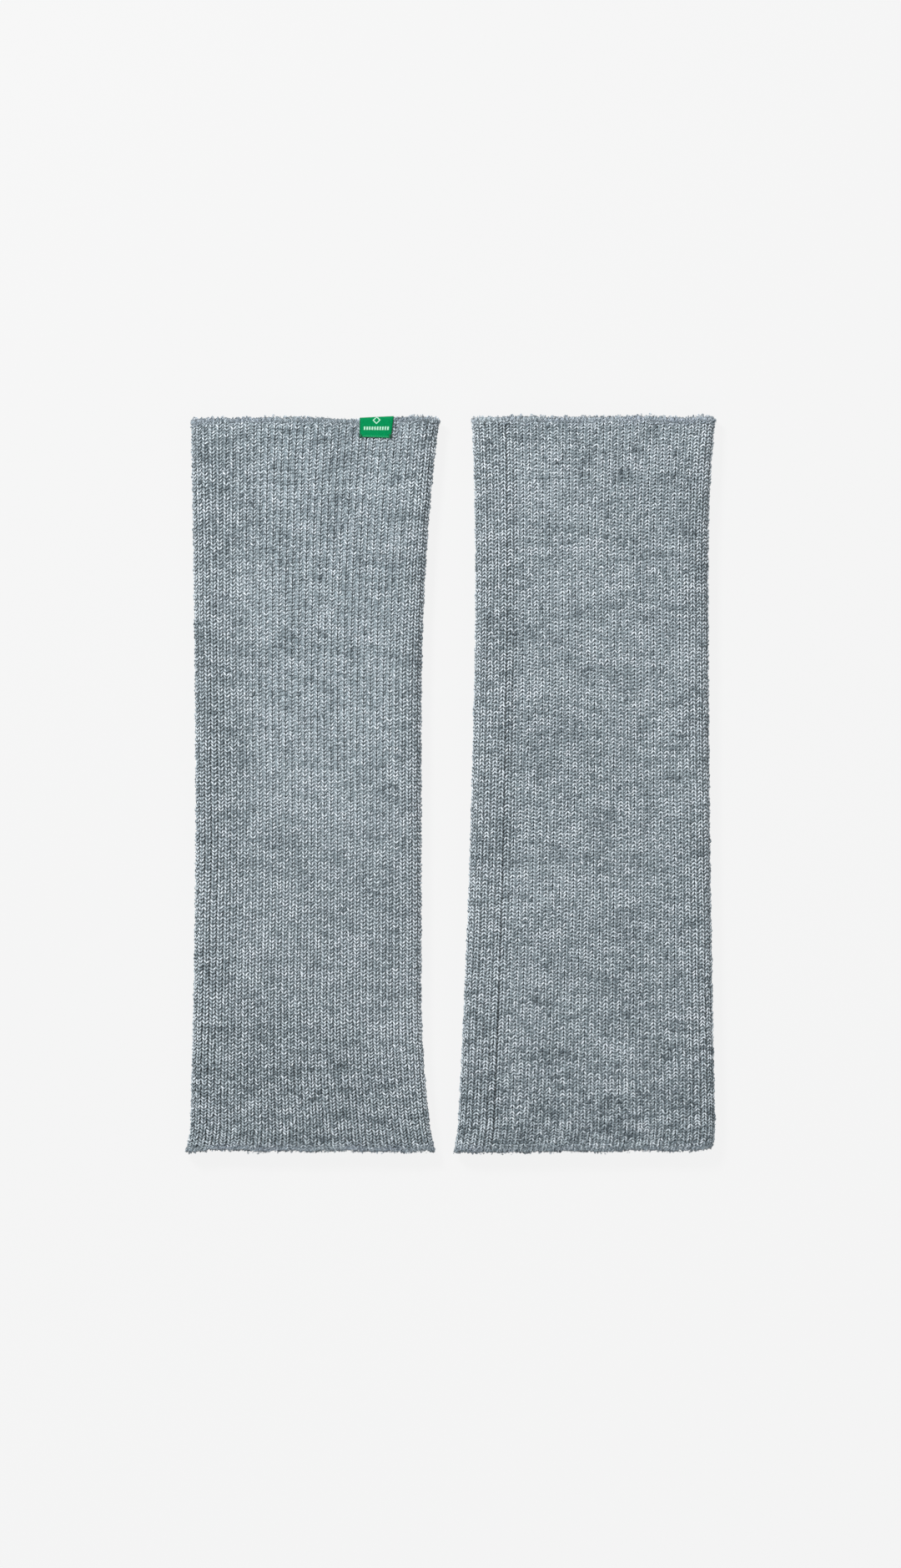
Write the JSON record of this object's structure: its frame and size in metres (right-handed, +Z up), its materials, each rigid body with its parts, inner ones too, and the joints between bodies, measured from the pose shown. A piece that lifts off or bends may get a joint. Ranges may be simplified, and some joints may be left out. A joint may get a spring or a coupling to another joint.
{
  "type": "fingerless gloves",
  "caption": "Rib-knit fingerless gloves lying flat side by side: each is a tube, open at both overlocked ends for the hand and forearm, one with a folded label on its rim.",
  "frame": {"origin": "middle of the pair's footprint, on the surface it lies on", "axes": "+X across the pair, from the labelled glove to the other; +Y along the gloves, towards the labelled rim; +Z up, out of the surface"},
  "size_m": [0.2419, 0.336, 0.0109],
  "materials": {
    "rib_knit": "blue-grey melange 1x1 rib knit, matt, slightly fuzzy",
    "overlock_thread": "textured grey overlock thread, matt, loopy at the edge",
    "woven_label": "fine green damask weave with a plain woven stripe",
    "label_thread": "dark green sewing thread"
  },
  "bodies": {
    "left_glove": {"left_rib_tube": "rib_knit", "left_hand_end_needle_thread": "overlock_thread", "left_hand_end_outer_looper_thread": "overlock_thread", "left_hand_end_inner_looper_thread": "overlock_thread", "left_arm_end_needle_thread": "overlock_thread", "left_arm_end_outer_looper_thread": "overlock_thread", "left_arm_end_inner_looper_thread": "overlock_thread", "left_seam_needle_thread": "overlock_thread", "left_seam_upper_looper_thread": "overlock_thread", "left_seam_lower_looper_thread": "overlock_thread", "woven_label": "woven_label", "label_tack_stitches": "label_thread"},
    "right_glove": {"right_rib_tube": "rib_knit", "right_hand_end_needle_thread": "overlock_thread", "right_hand_end_outer_looper_thread": "overlock_thread", "right_hand_end_inner_looper_thread": "overlock_thread", "right_arm_end_needle_thread": "overlock_thread", "right_arm_end_outer_looper_thread": "overlock_thread", "right_arm_end_inner_looper_thread": "overlock_thread", "right_seam_needle_thread": "overlock_thread", "right_seam_upper_looper_thread": "overlock_thread", "right_seam_lower_looper_thread": "overlock_thread"}
  },
  "joints": [
    {"name": "right_glove_lift", "type": "slide", "parent": "left_glove", "child": "right_glove", "axis": [0, 0, 1], "range_m": [0, 0.25]}
  ]
}
